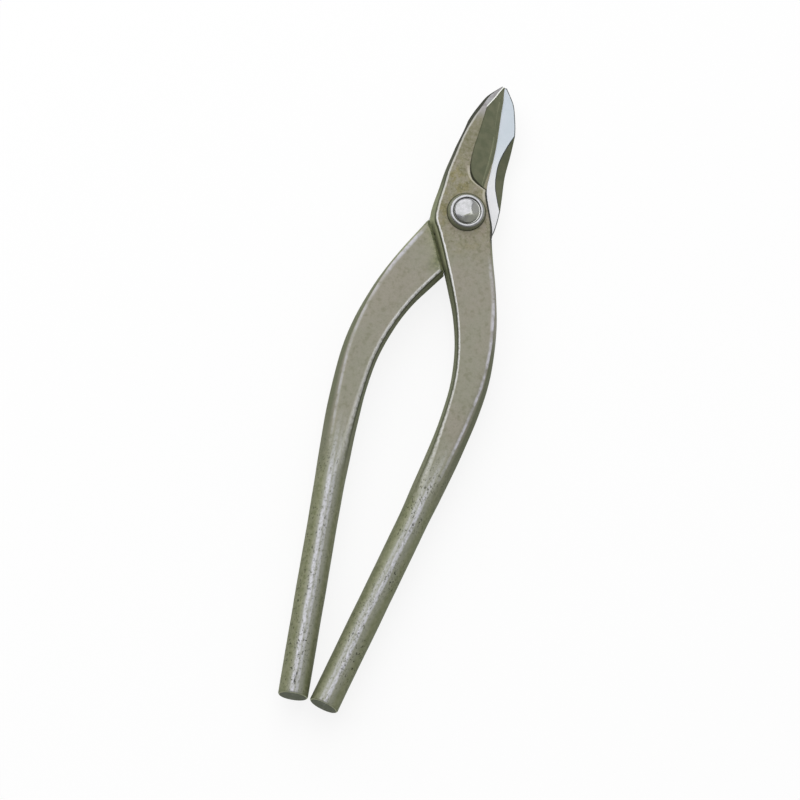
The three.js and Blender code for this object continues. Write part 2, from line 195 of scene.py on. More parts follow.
# Plan of the steep shoulder that ends the bevel at the throat, as shares of the heel radius
shoulder_shares = [
    [1.000, 0.740], [0.379, 0.817], [0.196, 0.869], [0.000, 0.948], [-0.100, 1.013], [-0.185, 1.124],
    [-0.252, 1.288], [-0.300, 1.580], [-0.327, 1.960], [-0.350, 2.300], [-0.450, 2.800],
]
shoulder_line = smooth_line(np.array(shoulder_shares) * heel_radius,
                            np.linspace(0, len(shoulder_shares) - 1, 300))
blade_numbers = np.linspace(0, len(blade_stations), 600)
edge_line = smooth_line(stations[:, 2:4], blade_numbers)
spine_line = smooth_line(stations[:, 0:2], blade_numbers)
blade_heights = smooth_column(stations[:, 4], blade_numbers)
facet_height = np.interp(-facet_start, -spine_line[:, 1], blade_heights)
facet_across = np.interp(-facet_start, -spine_line[:, 1], spine_line[:, 0]) / 2


def facet_top(x, y):
    """Height of the point facet's plane: it rises with x by its tilt and falls with y by its fall."""
    return facet_height + (x - facet_across) * facet_tilt - (y - facet_start) * facet_fall


def bevel_top(x, y):
    """Height of the bevel: the land's gentle rise from the edge, then one steeper slope."""
    edge = np.interp(-y, -edge_line[:, 1], edge_line[:, 0])
    land = np.interp(y, [land_full, land_start], [throat_land_width, edge_land_width])
    run = edge - x
    rise = np.where(run < land, run * land_slope, land * land_slope + (run - land) * bevel_slope)
    return edge_thickness + rise, land


def past_shoulder(x, y):
    """How far a point lies on the blade's side of the shoulder, along y."""
    return y - np.interp(-x, -shoulder_line[:, 0], shoulder_line[:, 1])


def rounded(corners, radii, bend_steps, run_shares):
    """A broken line per row with its inner corners rounded by parabolas, which start and end one radius
    from the corner or at most 0.45 of the shorter run, and with extra points on its runs. Also gives
    each point's place on the line, a whole number at each corner."""
    ahead = np.diff(corners, axis=1)
    length = np.maximum(np.linalg.norm(ahead, axis=2, keepdims=True), 1e-9)
    ahead = ahead / length
    reach = np.minimum(radii[:, :, None], 0.45 * np.minimum(length[:, :-1], length[:, 1:]))
    starts = np.concatenate([corners[:, :1], corners[:, 1:-1] + ahead[:, 1:] * reach], axis=1)
    ends = np.concatenate([corners[:, 1:-1] - ahead[:, :-1] * reach, corners[:, -1:]], axis=1)
    points, places = [], []
    for run, shares in enumerate(run_shares):
        share = np.array(shares)[None, :, None]
        points.append(starts[:, run:run + 1] * (1 - share) + ends[:, run:run + 1] * share)
        places.append(run + 0.1 + 0.8 * np.array(shares))
        if run < len(run_shares) - 1:
            turn = np.linspace(0, 1, bend_steps + 2)[1:-1][None, :, None]
            points.append(ends[:, run:run + 1] * (1 - turn) ** 2
                          + corners[:, run + 1:run + 2] * 2 * turn * (1 - turn)
                          + starts[:, run + 1:run + 2] * turn ** 2)
            places.append(run + 0.9 + 0.2 * turn[0, :, 0])
    return np.concatenate(points, axis=1), np.concatenate(places)


def run_past(points, corners, number):
    """How far points lie past a corner of their section: the run along the side after it, less the run
    back along the side before it."""
    corner = corners[:, number:number + 1]
    runs = []
    for neighbour in (number + 1, number - 1):
        way = corners[:, neighbour:neighbour + 1] - corner
        way = way / np.maximum(np.linalg.norm(way, axis=2, keepdims=True), 1e-9)
        runs.append(np.clip(((points - corner) * way).sum(axis=2), 0, None))
    return runs[0] - runs[1]


def hammered(along, turn, phase):
    """Slow, shallow waves left by the hammer and file, as a share of the bar's half width: three sines
    that run down the bar and round it."""
    return (0.0040 * np.sin(along / 6.1 + 2 * turn + phase)
            + 0.0035 * np.sin(along / 13.7 - 3 * turn + 2.1 * phase)
            + 0.0025 * np.sin(along / 3.4 + 4 * turn + 0.7 * phase))


# Where the blade's back swells out, and the least width left between its bevel and its wall
swell_middle = 21.5
swell_reach = 8.5
narrowest_top = 0.15

# The facet's lower edge keeps this far from both arrises, or this share of the top
facet_margin = 1.2
facet_margin_share = 0.35

# Radii of the arrises by section number, and how much rounder the arm's outer side is
sharp = 0.05
softest_spine = 0.45
softness_by_row = [[0, 6, 8, 12, 16], [0.16, 0.22, 0.5, 0.7, 0.9]]
outer_extra_by_row = [[14, 15, 17, 19], [0, 0.3, 1.2, 2.0]]

# The hammer's waves fade in past the joint, where nothing is ground flat
waves_start = 14.0
waves_fade = 25.0

# How dark the walls are painted by section number, as scale with painted shade over it: most along the blade
# and on the other arm's side, and least where painted light lifts the walls at the joint
left_dark_by_row = [[0, 5, 7, 8.5, 12, 14, 16], [1.15, 1, 0.75, 0.25, 0, 0.1, 0.35]]
right_dark_by_row = [[0, 12, 12.7, 13.5, 15, 16.3, 18], [1, 1, 0.2, -0.12, 0.4, 0.52, 0.52]]
far_run = 9.0
off_point = -2.0

# Rings of the handle's end: how far each lies short of the end and in from the side, and whether it
# is on the filed face
end_short = np.array([0.45, 0.2, 0.05, 0, 0, 0, 0])
end_inset = np.array([0.10, 0.30, 0.55, 0.85, 3.0, 5.2, 6.7])
end_face = np.array([0, 0.3, 0.5, 1, 1, 1, 1])


def bar_rows(fullness):
    """The bar on each row: its left and right points, width and way across, half thickness, how far its
    walls lean in at the top, how round it is, and the radii of its arrises. Fullness is how far the
    blade's back swells out, as a bell curve along the blade."""
    left = smooth_line(stations[:, 0:2], row_numbers)
    left[:, 0] -= fullness * np.exp(-((left[:, 1] - swell_middle) / swell_reach) ** 2)
    right = smooth_line(stations[:, 2:4], row_numbers)
    thick, left_inset, right_inset, roundness = (
        smooth_column(stations[:, column], row_numbers) for column in (4, 5, 6, 7))
    width = np.linalg.norm(right - left, axis=1)
    softness = np.interp(row_numbers, *softness_by_row)
    return SimpleNamespace(
        left=left, right=right, width=width, inward=(left - right) / width[:, None], thick=thick,
        left_inset=np.minimum(left_inset, widest_inset_share * width),
        right_inset=np.minimum(right_inset, widest_inset_share * width),
        roundness=np.clip(roundness, 0, 1)[:, None], softness=softness,
        outer_softness=softness + np.interp(row_numbers, *outer_extra_by_row))


def plan(bar, inset):
    """X and y of points at insets from the right side."""
    return np.moveaxis(bar.right[:, None] + bar.inward[:, None] * inset[..., None], -1, 0)


def bevel_end(bar):
    """Which rows have a ground bevel, how wide its land is, and the inset at which it ends: where it
    meets the shoulder or reaches the top, found on closely spaced trial points."""
    trial = np.linspace(0, 1, 500)[None] * bar.width[:, None]
    x, y = plan(bar, trial)
    bevel, land = bevel_top(x, y)
    room = np.minimum(np.minimum(bar.thick[:, None], facet_top(x, y)) - bevel, past_shoulder(x, y))
    stop = np.argmax(room <= 0, axis=1)
    last = np.maximum(stop - 1, 0)
    rows = np.arange(len(stop))
    before, after = room[rows, last], room[rows, stop]
    ridge = trial[rows, last] + before / np.maximum(before - after, 1e-9) * trial[:, 1]
    ground = (room[:, 0] > 0) & (row_numbers < len(blade_stations) + 1)
    farthest = bar.width - bar.left_inset - narrowest_top
    return ground, land[:, 0], np.minimum(np.where(ground, ridge, 0), farthest)


def upper_side(bar):
    """Insets and heights of the upper side's corners, from the right edge to the left one, and the rows
    with a ground bevel. Both walls keep their slope where the point facet cuts them, and a row without
    a bevel keeps the bevel's two corners low on its right wall."""
    ground, land, ridge = bevel_end(bar)
    none = np.zeros_like(bar.width)

    def at(height, inset):
        """A height function's values at one inset on each row."""
        return height(*plan(bar, inset[:, None])[..., 0])

    def top(x, y):
        """The bar's top, or the point facet where that is lower."""
        return np.minimum(bar.thick, facet_top(x, y))

    wall = bar.right_inset / bar.thick
    land = np.where(ground, np.minimum(land, ridge * 0.9), 0)
    ridge_top = np.maximum(ridge, bar.right_inset)
    ridge_height = at(top, ridge_top)
    foot_height = np.where(ground, np.minimum(at(bevel_top, ridge)[0], ridge_height), 1.0)
    land_height = np.minimum(np.where(ground, at(bevel_top, land)[0], 0.9), foot_height)
    left_top, right_top = facet_top(*bar.left.T), facet_top(*bar.right.T)
    slope = (left_top - right_top) / bar.width
    wall_share = np.minimum(left_top / (bar.thick + slope * bar.left_inset), 1)
    spine = bar.width - bar.left_inset * wall_share
    margin = np.minimum(facet_margin_share * (spine - ridge_top), facet_margin)
    facet_edge = np.clip((bar.thick - right_top) / np.minimum(slope, -1e-6),
                         ridge_top + margin, spine - margin)
    return np.stack([
        np.column_stack([none, wall * edge_thickness, np.maximum(land, wall * land_height),
                         np.maximum(ridge, wall * foot_height), ridge_top, facet_edge, spine, bar.width]),
        np.column_stack([none, none + edge_thickness, land_height, foot_height, ridge_height,
                         at(top, facet_edge), bar.thick * wall_share, none]),
    ], axis=2), ground


def made_round(bar, inset, height, place, on_right):
    """Moves the points of a section towards a round one by its roundness: a quarter ellipse on each
    side and a narrow flat between, with each arris where the ellipse bends over."""
    width, thick, left_inset, right_inset, softness, outer_softness = (
        values[:, None] for values in (bar.width, bar.thick, bar.left_inset, bar.right_inset,
                                       bar.softness, bar.outer_softness))
    level = np.minimum(np.abs(height) / thick, 1)
    bend_share = np.where(on_right, outer_softness, softness) / thick
    climb = np.minimum(level / (1 - bend_share), 1) * 0.5
    bend = np.select([place < 5, place < 7, place < 8.5],
                     [place - 3.9, 6.1 - place, place - 7.9], 9.1 - place)
    bend = np.clip(bend, 0, 0.2) / 0.2
    turn = np.where(bend > 0, 0.5 + 0.5 * bend, climb) * math.pi / 2
    share = np.clip((inset - right_inset) / np.maximum(width - left_inset - right_inset, 1e-6), 0, 1)
    flat = right_inset * (1 - share) + (width - left_inset) * share
    on_flat = ((place > 4.1) & (place < 5.9)) | ((place > 8.1) & (place < 8.9))
    round_inset = np.where(on_right, right_inset * (1 - np.cos(turn)),
                           width - left_inset * (1 - np.cos(turn)))
    round_inset = np.where(on_flat, flat, round_inset)
    round_height = thick * np.where(on_flat, 1, np.sin(turn)) * np.where(place > 7, -1, 1)
    return (inset * (1 - bar.roundness) + round_inset * bar.roundness,
            height * (1 - bar.roundness) + round_height * bar.roundness)


def forged_rings(phase, fullness):
    """Rings of points round the forging, tip first: on each row the ground or forged upper side and the
    plain lower side, rounded at the arrises, and blended into an ellipse where the bar is round. With
    them come each ring point's place on its section, the masks that the finishes read and the rows with
    a ground bevel. A place is a whole number at each corner: 0 the right edge, 1 the cutting edge, 2 its
    land, 3 and 4 the bevel's foot and top, 5 the point facet, 6 the left arris, 7 the left edge, and 8
    and 9 the lower arrises."""
    bar = bar_rows(fullness)
    none = np.zeros_like(bar.width)
    upper_corners, ground = upper_side(bar)
    spine_softness = np.maximum(bar.softness, softest_spine)
    radii = np.column_stack([none + sharp, none + sharp * 3, none + sharp * 9, bar.outer_softness,
                             bar.softness, spine_softness])
    upper, upper_place = rounded(upper_corners, radii, 4, [
        [0, 1], [0, 0.5, 1], [0, 0.06, 0.2, 0.4, 0.6, 0.8, 0.94, 1], [0, 0.15, 0.35, 0.6, 0.85, 1],
        [0, 0.05, 0.2, 0.5, 0.8, 0.95, 1], [0, 0.05, 0.2, 0.4, 0.6, 0.8, 0.95, 1],
        [0, 0.1, 0.3, 0.55, 0.8, 1],
    ])
    lower_corners = np.stack([
        np.column_stack([bar.width, bar.width - bar.left_inset, bar.right_inset, none]),
        np.column_stack([none, -bar.thick, -bar.thick, none]),
    ], axis=2)
    radii = np.column_stack([spine_softness, np.maximum(bar.outer_softness, softest_spine)])
    lower, lower_place = rounded(lower_corners, radii, 6, [
        [0.12, 0.3, 0.5, 0.75, 1], np.linspace(0, 1, 18), [0, 0.25, 0.5, 0.7, 0.88],
    ])
    inset, height = np.moveaxis(np.concatenate([upper, lower], axis=1), -1, 0)
    place = np.concatenate([upper_place, lower_place + 7])
    on_right = (place < 5) | (place > 8.5)
    inset, height = made_round(bar, inset, height, place, on_right)

    # The hammer's waves
    centre = bar.width[:, None] / 2
    along = -plan(bar, centre)[1]
    wave = hammered(along, np.arctan2(height, centre - inset), phase)
    wave = wave * np.clip((along - waves_start) / waves_fade, 0, 1)
    inset = centre + (inset - centre) * (1 + wave)
    height = height * (1 + wave)
    x, y = plan(bar, inset)

    # Masks in mm or shares: the runs past the arrises, the bevel's ridge and land and the shoulder, the
    # depth below the point facet, the walls' scale and painted shade, how far the bar is a handle, how low
    # on its side a point lies, for painted shade on the handle's flanks, and how far round it a point lies,
    # the end face, and kept, which is 0 on the points of a cut
    far = np.full_like(lower[..., 0], far_run)
    thick = bar.thick[:, None]
    handle = np.clip((bar.roundness - 0.45) / 0.5, 0, 1)
    masks = {
        "left_edge": np.hstack([-run_past(upper, upper_corners, 6), run_past(lower, lower_corners, 1)]),
        "right_edge": np.hstack([run_past(upper, upper_corners, 4), -run_past(lower, lower_corners, 2)]),
        "ridge_run": np.where(place < 3.3, np.hstack([-run_past(upper, upper_corners, 3), far]), far_run),
        "land_run": np.hstack([run_past(upper, upper_corners, 2), far]),
        "throat_run": np.where(place < 3.3, past_shoulder(x, y), far_run),
        "point": np.where(place < 7, thick - facet_top(x, y), off_point),
        "wall_scale_and_shade": np.where(on_right, np.interp(row_numbers, *right_dark_by_row)[:, None],
                         np.interp(row_numbers, *left_dark_by_row)[:, None]),
        "handle": np.broadcast_to(handle, inset.shape),
        "side_shade": np.clip(1.25 - np.abs(height) / thick * 1.35, 0, 1) * handle,
        "around": inset / centre - 1,
        "end": np.zeros_like(inset),
        "kept": np.ones_like(inset),
    }
    ring = np.stack([x, y, height], axis=-1)

    # The handle's end: a small round, then a flat filed face
    size = 1 - end_inset / handle_radius
    base = ring[-1] + np.append(handle_axis * handle_chamfer, 0)
    middle = np.append(handle_end, 0)
    ends = (base[None] - middle) * size[:, None, None] + middle
    ring = np.concatenate([ring, ends - np.append(handle_axis, 0) * end_short[:, None, None]])
    for name, mask in masks.items():
        masks[name] = np.concatenate([mask, np.repeat(mask[-1:], len(end_face), axis=0)])
    masks["end"][-len(end_face):] = end_face[:, None]
    return ring, place, masks, ground


def skin(name, rings, capped=True):
    """A mesh of quads between rings of points, each ring closed on itself, with a cap at both ends unless
    capped is false.
    """
    index = np.arange(rings[..., 0].size).reshape(rings.shape[:2])
    ahead = np.roll(index, -1, axis=1)
    quads = np.stack([index[:-1], ahead[:-1], ahead[1:], index[1:]], axis=-1).reshape(-1, 4)
    caps = [index[0][::-1].tolist(), index[-1].tolist()] if capped else []
    mesh = bpy.data.meshes.new(name)
    mesh.from_pydata(rings.reshape(-1, 3), [], quads.tolist() + caps)
    return mesh


def prism(name, outline, bottom, top):
    """An outline drawn out between two heights."""
    return skin(name, np.stack([np.column_stack([outline, np.full(len(outline), level)])
                                for level in (bottom, top)]))


@contextmanager
def edited(mesh):
    """The mesh opened for editing inside a with block, and written back at its end."""
    work = bmesh.new()
    work.from_mesh(mesh)
    yield work
    work.to_mesh(mesh)
    work.free()


def facing_out(mesh):
    """Turns the faces of a closed mesh outwards if its volume comes out negative."""
    with edited(mesh) as work:
        if work.calc_volume(signed=True) < 0:
            bmesh.ops.reverse_faces(work, faces=work.faces)
    return mesh


def in_scene(name, data):
    """A new object with this data, linked into the scene."""
    piece = bpy.data.objects.new(name, data)
    bpy.context.scene.collection.objects.link(piece)
    return piece


def combined(mesh, operation, *cutters):
    """A solid after one boolean operation with each cutter in turn. Cut faces bring their own finish."""
    body = in_scene("work", mesh)
    tools = [in_scene("tool", cutter) for cutter in cutters]
    for tool in tools:
        step = body.modifiers.new("cut", "BOOLEAN")
        step.solver = "MANIFOLD"
        step.operation = operation
        step.material_mode = "TRANSFER"
        step.object = tool
    made = bpy.data.meshes.new_from_object(body.evaluated_get(bpy.context.evaluated_depsgraph_get()))
    for used in [body, *tools]:
        bpy.data.objects.remove(used)
    return made


# The space on the lap side: nothing stands beside the line of the other arm, nor inside the circle
# that the other heel sweeps, and the welded plate fills the inner side of the blade and an eye
lap_gap = 0.2
edge_break = 0.44
shoulder_clearance = 0.5
plate_clearance = 0.3
steel_thickness = 1.5
arm_line_stations = 6
beyond = 80.0
below = -20.0
heel_corner = stations[heel_station, 0:2]
recess_radius = np.linalg.norm(heel_corner) + shoulder_clearance
turns = np.linspace(0, 2 * math.pi, 160, endpoint=False)
circle = np.column_stack([np.cos(turns), np.sin(turns)])


def beside_arm(clearance):
    """Plan of the space beside the other arm, a clearance away from the line of its inner side."""
    line = smooth_line(stations[:, 0:2], heel_station + np.linspace(arm_line_stations, 0, 90))
    run = np.gradient(line, axis=0)
    run /= -np.linalg.norm(run, axis=1, keepdims=True)
    line = (line + np.column_stack([run[:, 1], -run[:, 0]]) * clearance) * [-1, 1]
    far_side = [[beyond, beyond], [-beyond, beyond], [-beyond, line[0, 1]]]
    return np.vstack([far_side, line, [[beyond, line[-1, 1]]]])


recess_outline = beside_arm(shoulder_clearance)
wall_line = recess_outline[3:-1]

# The shoulder's corner is eased where it faces the other arm
ease_depth = 2.4
ease_width = 1.5
ease_rings = np.stack([
    np.column_stack([beside_arm(shoulder_clearance + width), np.full(len(recess_outline), height)])
    for width, height in ((2 * ease_width, -half_thickness - ease_depth), (0, ease_depth - half_thickness))])

# Border of the hollow crescent ground into the lap side along the spine, as shares of the heel
# radius and the blade reach
relief_shares = [
    [-0.830, 0.745], [-0.712, 0.668], [-0.612, 0.582], [-0.540, 0.492], [-0.526, 0.421], [-0.560, 0.344],
    [-0.628, 0.270], [-0.757, 0.199], [-0.915, 0.127], [-1.060, 0.079],
]
relief_slope = 0.8
relief_run = 0.6 * heel_radius
throat_end = 29.0
throat_start = 38.0
relief_border = smooth_line(np.array(relief_shares) * [heel_radius, blade_reach],
                            np.linspace(0, len(relief_shares) - 1, 110))


def relief_rings(throat_slope):
    """Sections of the relief's cutter along its border: a wedge that rises towards the spine, at one
    slope near the tip and another at the throat."""
    x, y = relief_border.T
    spine_side, none = x - relief_run, np.zeros_like(x)
    slope = np.interp(y, [throat_end, throat_start], [throat_slope, relief_slope])
    return np.stack([np.column_stack(corner) for corner in (
        (spine_side, y, none + below), (x, y, none + below), (x, y, none),
        (spine_side, y, relief_run * slope))], axis=1)


class Field:
    """A shader socket. Operators add Math nodes, and node() adds any other node to the same material."""

    def __init__(self, tree, socket=None):
        self.tree, self.socket = tree, socket

    def node(self, kind, settings=None, inputs=None, output=0):
        """One output of a new node, made by its kind, its settings and its values or links."""
        node = self.tree.nodes.new("ShaderNode" + kind)
        for name, value in (settings or {}).items():
            setattr(node, name, value)
        for name, value in (inputs or {}).items():
            if isinstance(value, Field):
                self.tree.links.new(value.socket, node.inputs[name])
            else:
                node.inputs[name].default_value = value
        return Field(self.tree, node.outputs[output]) if len(node.outputs) else None

    def math(self, operation, first, second=0):
        return self.node("Math", {"operation": operation}, {0: first, 1: second})

    def __add__(self, other):
        return self.math("ADD", self, other)

    def __sub__(self, other):
        return self.math("SUBTRACT", self, other)

    def __rsub__(self, other):
        return self.math("SUBTRACT", other, self)

    def __mul__(self, other):
        return self.math("MULTIPLY", self, other)

    __radd__ = __add__
    __rmul__ = __mul__

    def smaller(self, other):
        return self.math("MINIMUM", self, other)

    def larger(self, other):
        return self.math("MAXIMUM", self, other)

    def root(self):
        return self.math("SQRT", self)

    def rise(self, low, high):
        """0 below low, 1 above high, and a smooth step between."""
        return self.node("MapRange", {"interpolation_type": "SMOOTHSTEP"},
                         {"Value": self, "From Min": low, "From Max": high})

    def fall(self, low, high):
        """1 below low, 0 above high, and a smooth step between."""
        return 1 - self.rise(low, high)

    def band(self, middle, half, fade):
        """1 within a half width of the middle, and a smooth step down to 0 over the fade."""
        return self.math("ABSOLUTE", self - middle).fall(half, half + fade)

    def tint(self, first, second):
        """A colour that goes from first to second as this mask goes from 0 to 1. Each is a field or a
        screen colour."""
        first, second = (shade if isinstance(shade, Field) else srgb(*shade) for shade in (first, second))
        return self.node("Mix", {"data_type": "RGBA"}, {0: self, 6: first, 7: second}, 2)

    def painted(self, layers):
        """This colour with others laid over it in turn, each by its own mask."""
        colour = self
        for mask, shade in layers:
            colour = mask.tint(colour, shade)
        return colour

    def noise(self, size, detail=2.0, stretch=(1, 1, 1), shift=(0, 0, 0)):
        """Noise with features of a size in millimetres, stretched along the object's axes."""
        spot = self.node("TexCoord", output="Object")
        spot = self.node("Mapping", None, {"Vector": spot, "Location": shift,
                                           "Scale": [1 / (size * mm * share) for share in stretch]})
        return self.node("TexNoise", None, {"Vector": spot, "Scale": 1.0, "Detail": detail})

    def position(self):
        """The object's own X, Y and Z, in metres."""
        spot = self.node("TexCoord", output="Object")
        return [self.node("SeparateXYZ", None, {0: spot}, axis) for axis in "XYZ"]

    def mask(self, name):
        """A mask stored in the mesh."""
        return self.node("Attribute", {"attribute_name": name}, output="Fac")


def srgb(red, green, blue):
    """A screen colour of 0 to 255 as linear shares: the standard curve of a screen, undone."""
    shares = np.array([red, green, blue]) / 255
    linear = np.where(shares <= 0.04045, shares / 12.92, ((shares + 0.055) / 1.055) ** 2.4)
    return (*linear.tolist(), 1.0)


def new_finish(name):
    """An empty material and its first field."""
    material = bpy.data.materials.new(name)
    material.use_nodes = True
    material.node_tree.nodes.clear()
    return material, Field(material.node_tree)


def metal(start, colour, roughness, metallic, height, relief):
    """The closing shader of a metal finish. The height is in shares of the relief, in millimetres."""
    normal = start.node("Bump", None, {"Height": height, "Distance": relief * mm, "Strength": 1.0})
    shader = start.node("BsdfPrincipled", None, {
        "Base Color": colour, "Roughness": roughness, "Metallic": metallic, "Normal": normal,
        "Specular IOR Level": 0.25})
    start.node("OutputMaterial", None, {"Surface": shader})


def forged_skin():
    """Olive-grey oxide, browner round the rivet, with fine brown and lilac mottling. The walls keep dark
    scale with painted shade over it, with painted light and a dirt tint in the crevice at the joint and a
    painted contact shadow round the collar. The arrises are worn to pale lines that are also painted
    highlights, with a painted line of shade below, and the handles are polished by the hand in two bands
    along the crown, which are also painted highlights, have painted shade on their flanks, and are
    pitted. The point facet is ground bright, with a painted highlight along its edge, and the end faces
    carry painted shade with a painted highlight on their round. The upper and the lower half are worn,
    and painted with highlights, in different places. Places along the tool are in metres."""
    material, start = new_finish("forged_skin")
    left, right, point, crevice_dirt_and_fill_light, wall_scale_and_shade, end, handle, side_shade, around, upper = (start.mask(name) for name in (
        "left_edge", "right_edge", "point", "crevice_dirt_and_fill_light", "wall_scale_and_shade", "end", "handle", "side_shade", "around",
        "upper_half"))
    x, y, z = start.position()
    flat, lower = 1 - handle, 1 - upper
    mottle = start.noise(2.0, 5)
    grain = start.noise(0.5, 3)
    streaks = start.noise(0.9, 3, (1, 5, 1), (4, 1, 2))
    waver = start.noise(1.7, 3, shift=(8, 3, 1))

    # The oxide, with rust and lilac patches round the rivet and fine specks
    patches = start.noise(16, 3, (1, 1.6, 1))
    rust = start.noise(6.0, 3, shift=(2, 7, 5))
    specks = start.noise(0.9, 2, shift=(6, 1, 8))
    joint = (x * x + (y - 0.012) * (y - 0.012)).root().fall(0.014, 0.040)
    colour = patches.rise(0.36, 0.64).tint((144, 143, 128), (148, 144, 131)).painted([
        (joint * 0.8, (138, 134, 110)),
        (rust.rise(0.48, 0.64) * joint * 0.6, (134, 126, 82)),
        (rust.fall(0.36, 0.50) * joint * 0.55, (152, 142, 130)),
        (y.band(0.036, 0.005, 0.012) * 0.7, (122, 120, 96)),
        (mottle.rise(0.50, 0.74) * (0.3 + 0.25 * joint), (162, 156, 148)),
        (mottle.fall(0.28, 0.50) * (0.35 + 0.35 * joint), (104, 104, 76)),
        (specks.rise(0.56, 0.70) * (0.12 + 0.3 * joint), (90, 86, 58)),
        (specks.fall(0.30, 0.44) * (0.08 + 0.28 * joint), (170, 162, 156)),
    ])

    # The soft right arris of the arms, worn pale and also a painted highlight, then the handles with their
    # polished crown and two bands, worn and also painted highlights, painted shade on their flanks, scuffs
    # and dirt
    arms = (y + 0.008 * upper).fall(-0.016, -0.008)
    near_joint = y.rise(-0.045, -0.030)
    # The soft right arris is worn pale and also a painted highlight
    soft_arris_wear_and_highlight = arms * right.band(0.9, 0.25, 1.2) * flat * mottle.rise(0.10, 0.58)
    soft_arris_wear_and_highlight = soft_arris_wear_and_highlight * (0.5 + near_joint * 0.4 + upper * 0.5 - near_joint * upper * 0.8)
    soft_arris_wear_and_highlight = soft_arris_wear_and_highlight * (0.4 + 0.6 * start.noise(6.0, 2, shift=(1, 6, 3)).rise(0.36, 0.56))
    around = around - y.fall(-0.205, -0.160) * (0.11 * upper - 0.04)
    around = around + 0.22 * (start.noise(16, 2, (1, 1.6, 1), (5, 5, 1)) - 0.5)
    scuffs = start.noise(0.7, 3, (1, 1.8, 1), (2, 9, 4))
    # Two bands along the crown, worn and also painted highlights
    wear_and_highlight = around.band(-0.11, 0.06, 0.15) + around.band(0.19, 0.04, 0.13) * (0.72 - 0.25 * upper)
    wear_and_highlight = handle * wear_and_highlight.smaller(1) * (0.35 + 0.25 * streaks.rise(0.30, 0.60) + 0.4 * scuffs.rise(0.38, 0.60))
    colour = colour.painted([
        (soft_arris_wear_and_highlight, (202, 201, 208)),
        (handle * 0.9, mottle.rise(0.3, 0.7).tint((121, 126, 93), (145, 147, 118))),
        # Painted shade on the handles' flanks, then a paler crown that is a painted highlight
        (side_shade * (0.4 + 0.4 * upper), (98, 105, 75)),
        (handle * around.band(0.10 - 0.18 * upper, 0.32, 0.36) * (0.75 - 0.15 * upper), (156, 157, 148)),
        (wear_and_highlight, (198, 198, 205)),
        (handle * around.band(0.0, 0.45, 0.3) * scuffs.fall(0.30, 0.44) * 0.6, (92, 94, 74)),
    ])

    # The painted contact shadow in a ring under the collar, the scale on the walls with painted shade over
    # it, painted light on the front's wall at the joint, a dirt tint and painted fill light in the crevice, a
    # darker olive in the crotch, a painted line of shade under the left arris, and the left arris, a pale and
    # broken line, worn and also a painted highlight, that is widest on the lower arm
    from_pivot = (x * x + y * y).root()
    slow = right.rise(-0.35 - 3.0 * y.fall(-0.095, -0.055), 0.0)
    slow = slow + (1 - slow) * upper * y.band(-0.035, 0.012, 0.014) * 0.75
    # Scale with painted shade on the walls
    wall = flat * (1 - left.rise(-0.35, 0.0).smaller(slow)) * wall_scale_and_shade.rise(-0.45, 0.0)
    # Painted light on the front's wall at the joint, which the other arm shades
    painted_wall_light = upper * wall * y.band(-0.017, 0.006, 0.006) * left.fall(-2.2, -1.4)
    bloom = arms * lower
    by_joint = upper * y.rise(-0.045, -0.025)
    broken = waver.rise(0.34, 0.56)
    # The left arris is worn pale and also a painted highlight
    arris_wear_and_highlight = (left + 0.9 * (waver - 0.5)).band(
        0.16 + 0.14 * bloom + 0.10 * by_joint, 0.18 + 0.12 * bloom + 0.12 * by_joint, 0.42 + 0.5 * bloom)
    arris_wear_and_highlight = arris_wear_and_highlight * flat * (0.45 + 0.55 * broken + 0.45 * by_joint * (1 - broken))
    arris_wear_and_highlight = arris_wear_and_highlight * (1 - y.rise(-0.010, -0.002) * 0.40) * (1 - y.rise(0.010, 0.022) * 0.30)
    arris_wear_and_highlight = arris_wear_and_highlight * (1 - y.rise(0.042, 0.050) * 0.7) * (0.65 + 0.35 * y.rise(-0.085, -0.060))
    crotch = lower * y.rise(-0.034, -0.022) * y.fall(-0.012, -0.008) * flat * left.band(0, 4.0, 6.0)
    colour = colour.painted([
        # A painted contact shadow in a ring round the collar
        (from_pivot.fall(0.0087, 0.0092) * flat * 0.9, (54, 56, 40)),
        # Scale and painted shade on the walls
        (wall, wall_scale_and_shade.tint((138, 143, 113), (50, 52, 42))),
        (painted_wall_light * 0.9, (190, 194, 156)),
        # A dirt tint with painted fill light in the crevice
        (crevice_dirt_and_fill_light * 0.95, waver.rise(0.35, 0.65).tint((122, 128, 94), (156, 160, 124))),
        # A painted line of shade under the left arris
        (flat * left.band(-1.3, 0.5, 0.5) * 0.7, (52, 55, 40)),
        (arris_wear_and_highlight * (1 - lower * y.rise(-0.034, -0.018) * 0.85), (216, 216, 216)),
        (crotch * 0.85, waver.rise(0.4, 0.6).tint((84, 92, 60), (122, 126, 92))),
        (grain.rise(0.35, 0.75) * 0.14, (96, 94, 78)),
    ])

